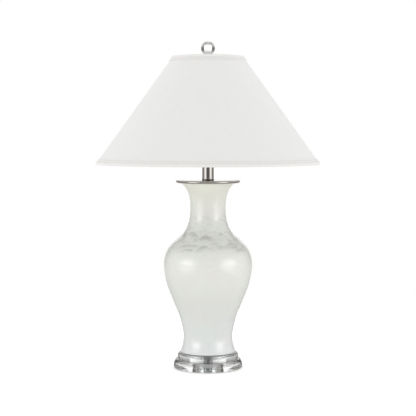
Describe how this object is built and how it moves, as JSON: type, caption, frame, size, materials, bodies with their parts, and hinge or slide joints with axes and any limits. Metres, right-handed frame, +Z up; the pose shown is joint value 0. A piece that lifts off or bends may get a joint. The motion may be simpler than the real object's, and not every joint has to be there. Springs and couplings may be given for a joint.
{
  "type": "table lamp",
  "caption": "Table lamp with a glazed baluster vase on a clear tiered base, a polished cap and neck, a tapered cloth shade and a clear ball finial.",
  "frame": {"origin": "on the table, under the middle of the base, on the lamp's axis", "axes": "+Z up along the lamp's axis, -Y towards the viewer, +X to the viewer's right; the cord outlet is at +Y and the switch knob at +X"},
  "size_m": [0.5078, 0.5078, 0.7412],
  "materials": {
    "clear_acrylic": "polished clear cast acrylic",
    "clear_vinyl": "soft clear vinyl",
    "zinc_steel": "zinc-plated steel",
    "translucent_plastic": "natural nylon",
    "pearl_glaze": "glossy off-white glaze with grey-green crystals on the shoulder",
    "black_rubber": "matte",
    "polished_nickel": "polished nickel plate",
    "nickel_shell": "satin nickel plate",
    "paper_liner": "vulcanised fibre",
    "black_plastic": "moulded phenolic",
    "brass": "plain brass",
    "thread_aluminium": "rolled thread shell",
    "frosted_glass": "frosted white inside",
    "black_glass": "black vitrite",
    "shade_cloth": "fine plain-weave off-white linen",
    "shade_styrene": "translucent white styrene",
    "white_wire": "white powder coat",
    "trim_cloth": "bias tape of the same cloth",
    "crystal": "polished clear crystal"
  },
  "bodies": {
    "stand": {"base_feet": "clear_vinyl", "base_lower_tier": "clear_acrylic", "base_upper_tier": "clear_acrylic", "base_washer": "zinc_steel", "base_star_washer": "zinc_steel", "base_hex_nut": "zinc_steel", "cord_bushing": "translucent_plastic", "lamp_pipe": "zinc_steel", "vase_body": "pearl_glaze", "mouth_centring_disc": "black_rubber", "vase_cap": "polished_nickel", "neck_check_ring": "polished_nickel", "neck_tube": "polished_nickel", "neck_top_washer": "polished_nickel", "harp_saddle": "polished_nickel", "saddle_locknut": "zinc_steel", "harp": "polished_nickel", "harp_stud": "polished_nickel", "socket_cap": "nickel_shell", "socket_shell": "nickel_shell", "socket_insulator": "paper_liner", "socket_body": "black_plastic", "socket_terminal_screws": "brass", "socket_screw_shell": "thread_aluminium", "socket_centre_contact": "brass"},
    "shade": {"shade_fabric": "shade_cloth", "shade_liner": "shade_styrene", "shade_top_ring": "white_wire", "shade_bottom_ring": "white_wire", "shade_spokes": "white_wire", "shade_hub_washer": "white_wire", "shade_top_trim": "trim_cloth", "shade_bottom_trim": "trim_cloth"},
    "finial_foot": {"finial_ferrule": "polished_nickel"},
    "finial": {"finial_ball": "crystal"},
    "front_sleeve": {"harp_sleeve_front": "polished_nickel"},
    "back_sleeve": {"harp_sleeve_back": "polished_nickel"},
    "switch": {"switch_shaft": "brass", "switch_knob": "black_plastic"},
    "bulb_core": {"bulb_tip": "brass", "bulb_insulator": "black_glass"},
    "bulb": {"bulb_screw_base": "thread_aluminium", "bulb_envelope": "frosted_glass"}
  },
  "joints": [
    {"name": "shade_swivel", "type": "hinge", "parent": "stand", "child": "shade", "pos_m": [0, 0, 0.6966], "axis": [0, 0, 1], "continuous": true},
    {"name": "finial_lift", "type": "slide", "parent": "stand", "child": "finial_foot", "axis": [0, 0, 1], "range_m": [0, 0.0066]},
    {"name": "finial_turn", "type": "hinge", "parent": "finial_foot", "child": "finial", "pos_m": [0, 0, 0.7255], "axis": [0, 0, 1], "range_deg": [0, 2520]},
    {"name": "front_sleeve_slide", "type": "slide", "parent": "stand", "child": "front_sleeve", "axis": [0, 0, 1], "range_m": [0, 0.012]},
    {"name": "back_sleeve_slide", "type": "slide", "parent": "stand", "child": "back_sleeve", "axis": [0, 0, 1], "range_m": [0, 0.012]},
    {"name": "switch_turn", "type": "hinge", "parent": "stand", "child": "switch", "pos_m": [0.024, 0, 0.5], "axis": [1, 0, 0], "continuous": true},
    {"name": "bulb_rise", "type": "slide", "parent": "stand", "child": "bulb_core", "axis": [0, 0, 1], "range_m": [0, 0.0128]},
    {"name": "bulb_turn", "type": "hinge", "parent": "bulb_core", "child": "bulb", "pos_m": [0, 0, 0.53], "axis": [0, 0, 1], "range_deg": [0, 1260]}
  ],
  "couplings": [
    {"joint": "finial_lift", "follows": "finial_turn", "m_per_rad": 0.00014972},
    {"joint": "bulb_rise", "follows": "bulb_turn", "m_per_rad": 0.00057757}
  ]
}
